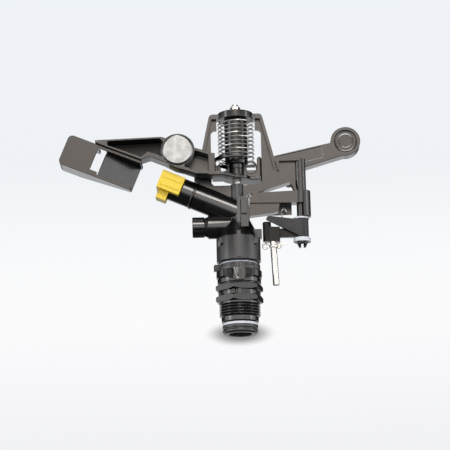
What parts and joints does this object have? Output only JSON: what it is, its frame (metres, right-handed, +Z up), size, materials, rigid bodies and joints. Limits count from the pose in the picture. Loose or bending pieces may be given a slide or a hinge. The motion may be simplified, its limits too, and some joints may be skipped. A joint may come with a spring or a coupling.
{
  "type": "impact sprinkler",
  "caption": "Part-circle impact sprinkler with a threaded inlet, angled range nozzle, spring-returned drive arm, trip lever and friction collars.",
  "frame": {"origin": "on the riser axis, at the seat where the inlet thread meets the hexagon", "axes": "+Z up the riser axis; the range nozzle points to -X and upwards; +Y is the back, -Y the front"},
  "size_m": [0.196, 0.0416, 0.1531],
  "materials": {
    "black_plastic": "semi-gloss moulded black acetal",
    "grey_plastic": "satin moulded grey acetal",
    "yellow_plastic": "satin moulded yellow nozzle plastic",
    "white_plastic": "smooth white bearing plastic",
    "black_rubber": "matt black seal rubber",
    "stainless": "bright drawn stainless steel",
    "spring_steel": "bright stainless spring wire",
    "zinc": "cast zinc with a mottled face"
  },
  "bodies": {
    "inlet": {"inlet_nipple": "black_plastic", "bearing_nut": "black_plastic", "bearing_seal": "black_rubber", "bearing_spring": "spring_steel"},
    "collar_low": {"lower_collar": "black_plastic"},
    "collar_high": {"upper_collar": "black_plastic"},
    "rotor": {"bearing_sleeve": "black_plastic", "foot_washer": "white_plastic", "spacer_ring": "white_plastic", "main_body": "black_plastic", "nozzle_sleeve": "black_plastic", "main_nozzle": "yellow_plastic", "stream_vane": "white_plastic", "rear_plug": "black_plastic", "plug_seal": "black_rubber", "bridge_frame": "black_plastic", "spring_cap": "black_plastic", "fulcrum_pin": "stainless", "pin_nut": "stainless", "trip_bracket": "black_plastic", "trip_pin": "black_plastic", "upper_lever_washer": "white_plastic", "lower_lever_washer": "white_plastic"},
    "arm": {"drive_arm": "black_plastic", "spoon": "black_plastic", "arm_tail": "black_plastic", "strike_pad": "black_plastic", "arm_weight": "zinc", "tail_weight": "zinc", "lower_bush": "white_plastic", "spring_core": "black_plastic", "arm_spring": "spring_steel"},
    "tripper": {"trip_lever": "black_plastic", "trip_rod": "stainless", "rod_clip": "spring_steel", "toggle_spring": "spring_steel"},
    "reverser": {"reversing_lever": "grey_plastic"}
  },
  "joints": [
    {"name": "rotor_turn", "type": "hinge", "parent": "inlet", "child": "rotor", "pos_m": [0, 0, 0], "axis": [0, 0, 1], "range_deg": [-224, 57]},
    {"name": "lower_collar_turn", "type": "hinge", "parent": "inlet", "child": "collar_low", "pos_m": [0, 0, 0.018], "axis": [0, 0, 1], "range_deg": [-114, 224]},
    {"name": "upper_collar_turn", "type": "hinge", "parent": "inlet", "child": "collar_high", "pos_m": [0, 0, 0.023], "axis": [0, 0, 1], "range_deg": [-57, 281]},
    {"name": "arm_swing", "type": "hinge", "parent": "rotor", "child": "arm", "pos_m": [0, 0, 0.0806], "axis": [0, 0, 1], "range_deg": [0, 90], "stiffness_Nm_per_rad": 0.02, "springref_deg": -68.75},
    {"name": "trip_swing", "type": "hinge", "parent": "rotor", "child": "tripper", "pos_m": [0.0411, -0.004, 0.045], "axis": [0, 0, 1], "range_deg": [-16, 0]},
    {"name": "reverser_swing", "type": "hinge", "parent": "rotor", "child": "reverser", "pos_m": [0.0411, -0.004, 0.045], "axis": [0, 0, 1], "range_deg": [0, 20]}
  ],
  "couplings": [
    {"joint": "reverser_swing", "follows": "trip_swing", "ratio": -1.25}
  ]
}
